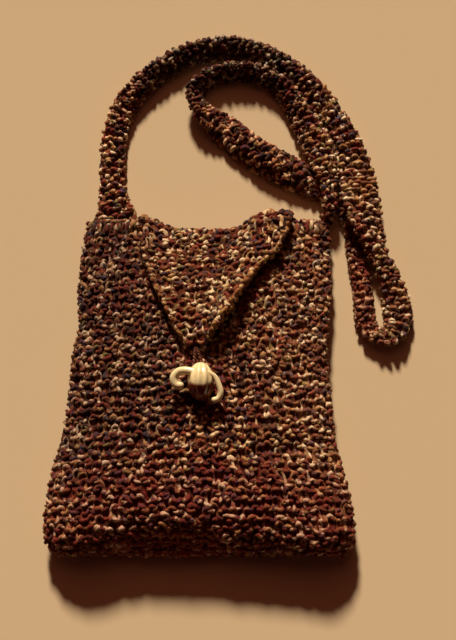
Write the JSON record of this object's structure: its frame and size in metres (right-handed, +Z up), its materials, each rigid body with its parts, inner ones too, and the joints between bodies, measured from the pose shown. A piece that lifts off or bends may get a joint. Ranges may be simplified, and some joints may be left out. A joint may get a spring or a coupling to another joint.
{
  "type": "knit bag",
  "caption": "Small knitted shoulder bag lying on its back, with a pointed flap closed by a yarn loop over a carved toggle and a long strap laid beside it.",
  "frame": {"origin": "middle of the pouch's flat back, on the surface that it lies on", "axes": "+Z up off the surface and out of the bag's front, +Y from the bag's bottom towards its mouth, +X to the right as the front is seen"},
  "size_m": [0.2776, 0.4294, 0.047],
  "materials": {
    "knit_yarn": "chunky knit of mixed dark brown, maroon, tan and olive yarn",
    "loop_cord": "thin reddish brown yarn",
    "ivory_toggle": "polished cream, ribbed"
  },
  "bodies": {
    "root": {"pouch": "knit_yarn", "flap": "knit_yarn", "strap": "knit_yarn", "button_loop": "loop_cord", "toggle_shank": "loop_cord", "toggle": "ivory_toggle"}
  },
  "joints": []
}
